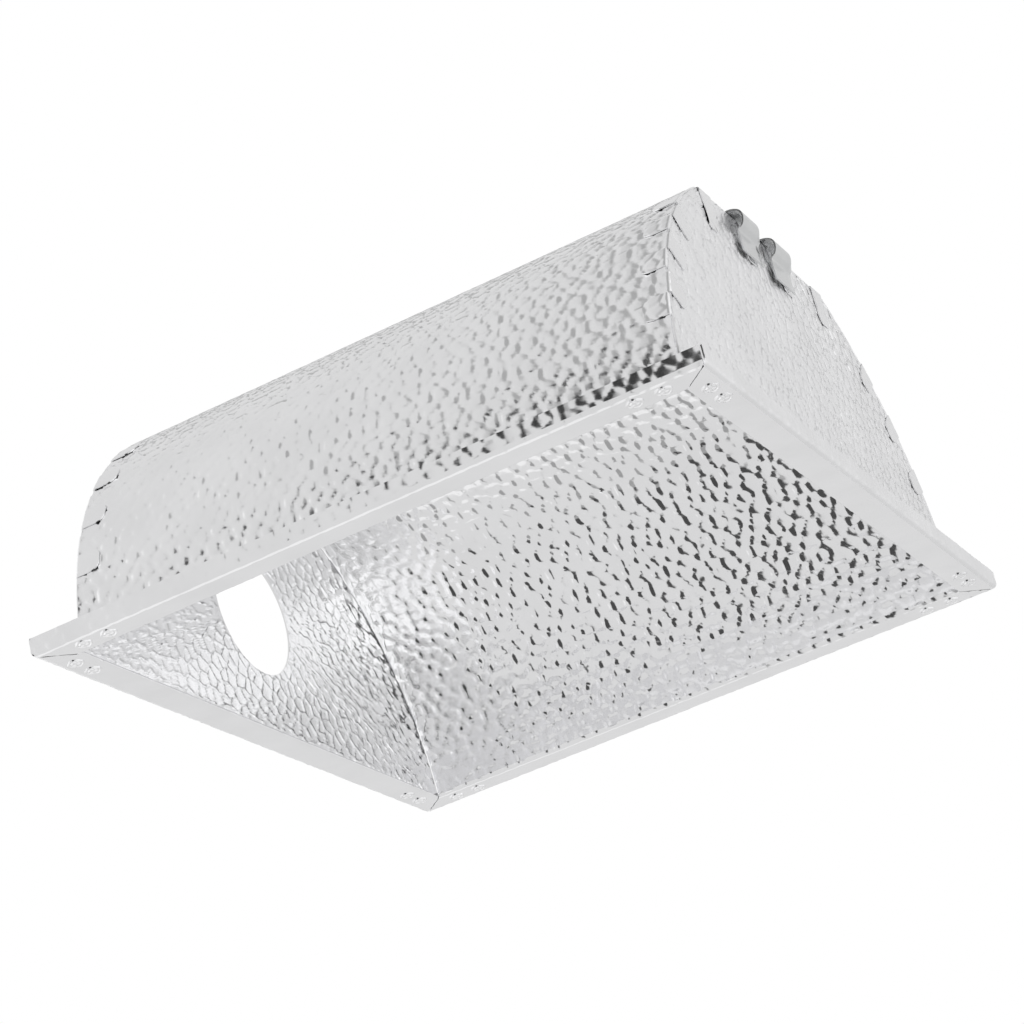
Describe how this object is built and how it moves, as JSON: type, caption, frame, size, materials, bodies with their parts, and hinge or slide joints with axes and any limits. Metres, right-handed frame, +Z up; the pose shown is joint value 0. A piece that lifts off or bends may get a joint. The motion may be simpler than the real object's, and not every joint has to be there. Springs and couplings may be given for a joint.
{
  "type": "grow lamp reflector hood",
  "caption": "Hammered aluminium grow lamp reflector hood with a curved trough, tabbed end plates, a round lamp hole and two mounting clips.",
  "frame": {"origin": "middle of the mouth, on the plane of the rim's underside", "axes": "+X along the lamp, from the end plate with the lamp hole to the blank end plate; +Y across the hood; +Z up, from the mouth to the roof"},
  "size_m": [0.333, 0.361, 0.139],
  "materials": {
    "hammered_aluminium": "bright hammered sheet with pebbles of about 8 mm",
    "gusset_aluminium": "plain mill sheet, clinched",
    "spring_steel": "smooth plated spring strip"
  },
  "bodies": {
    "root": {"reflector_trough": "hammered_aluminium", "blank_end_plate": "hammered_aluminium", "lamp_end_plate": "hammered_aluminium", "corner_gusset_1": "gusset_aluminium", "corner_gusset_2": "gusset_aluminium", "corner_gusset_3": "gusset_aluminium", "corner_gusset_4": "gusset_aluminium", "mounting_clip_near": "spring_steel", "mounting_clip_far": "spring_steel"}
  },
  "joints": []
}
